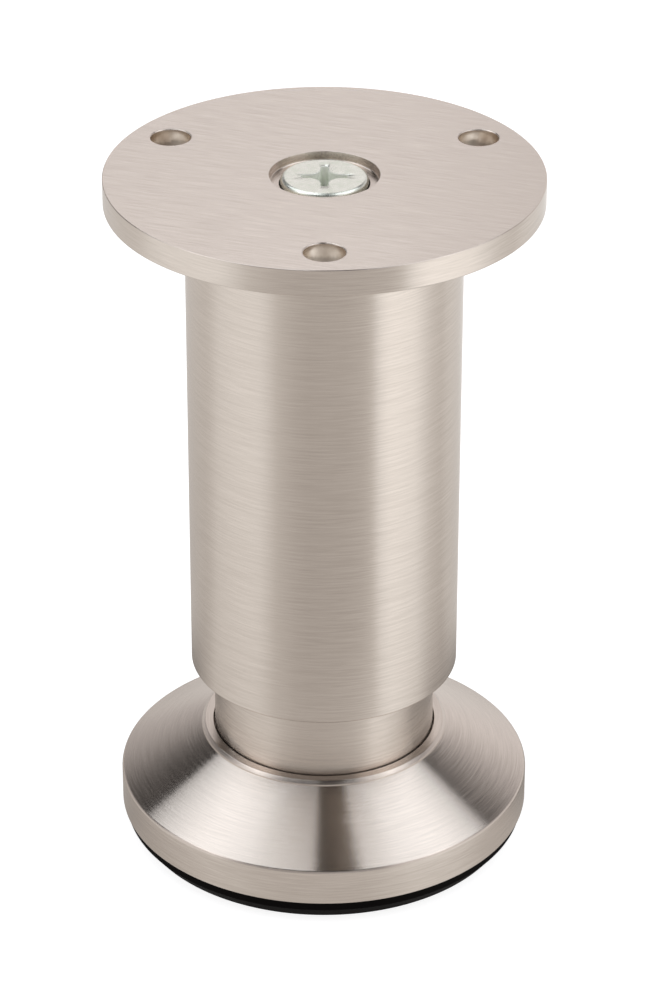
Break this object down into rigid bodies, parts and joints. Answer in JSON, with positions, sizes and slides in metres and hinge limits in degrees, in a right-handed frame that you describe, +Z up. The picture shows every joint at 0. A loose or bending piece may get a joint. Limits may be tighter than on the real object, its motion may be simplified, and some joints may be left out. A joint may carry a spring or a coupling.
{
  "type": "adjustable furniture leg",
  "caption": "Short round metal furniture leg with a screw-on mounting plate and a wide foot that turns to adjust the height.",
  "frame": {"origin": "on the floor, on the leg's axis, below the middle of the foot pad", "axes": "+Z up along the leg's axis, -Y towards the plate's single front hole"},
  "size_m": [0.08, 0.08, 0.1363],
  "materials": {
    "satin_nickel": "satin nickel plate, finely brushed",
    "bright_zinc": "bright zinc plate",
    "pressed_steel": "bare pressed steel",
    "black_nylon": "moulded, matt",
    "black_rubber": "moulded, matt"
  },
  "bodies": {
    "leg": {"mounting_plate": "satin_nickel", "plate_screw": "bright_zinc", "leg_tube": "satin_nickel", "top_insert": "pressed_steel", "plate_nut": "bright_zinc", "nut_carrier": "pressed_steel", "spindle_nut": "bright_zinc", "guide_bush": "black_nylon"},
    "sleeve": {"sleeve": "satin_nickel"},
    "foot": {"foot_flange": "satin_nickel", "spindle": "bright_zinc", "thrust_bush": "black_nylon", "clamp_washer": "bright_zinc", "lock_nut": "bright_zinc", "foot_pad": "black_rubber"}
  },
  "joints": [
    {"name": "foot_height", "type": "slide", "parent": "leg", "child": "sleeve", "axis": [0, 0, -1], "range_m": [-0.0138, 0.0062]},
    {"name": "foot_turn", "type": "hinge", "parent": "sleeve", "child": "foot", "pos_m": [0, 0, 0.02], "axis": [0, 0, -1], "range_deg": [-3311, 1487]}
  ],
  "couplings": [
    {"joint": "foot_height", "follows": "foot_turn", "m_per_rad": 0.00023873}
  ]
}
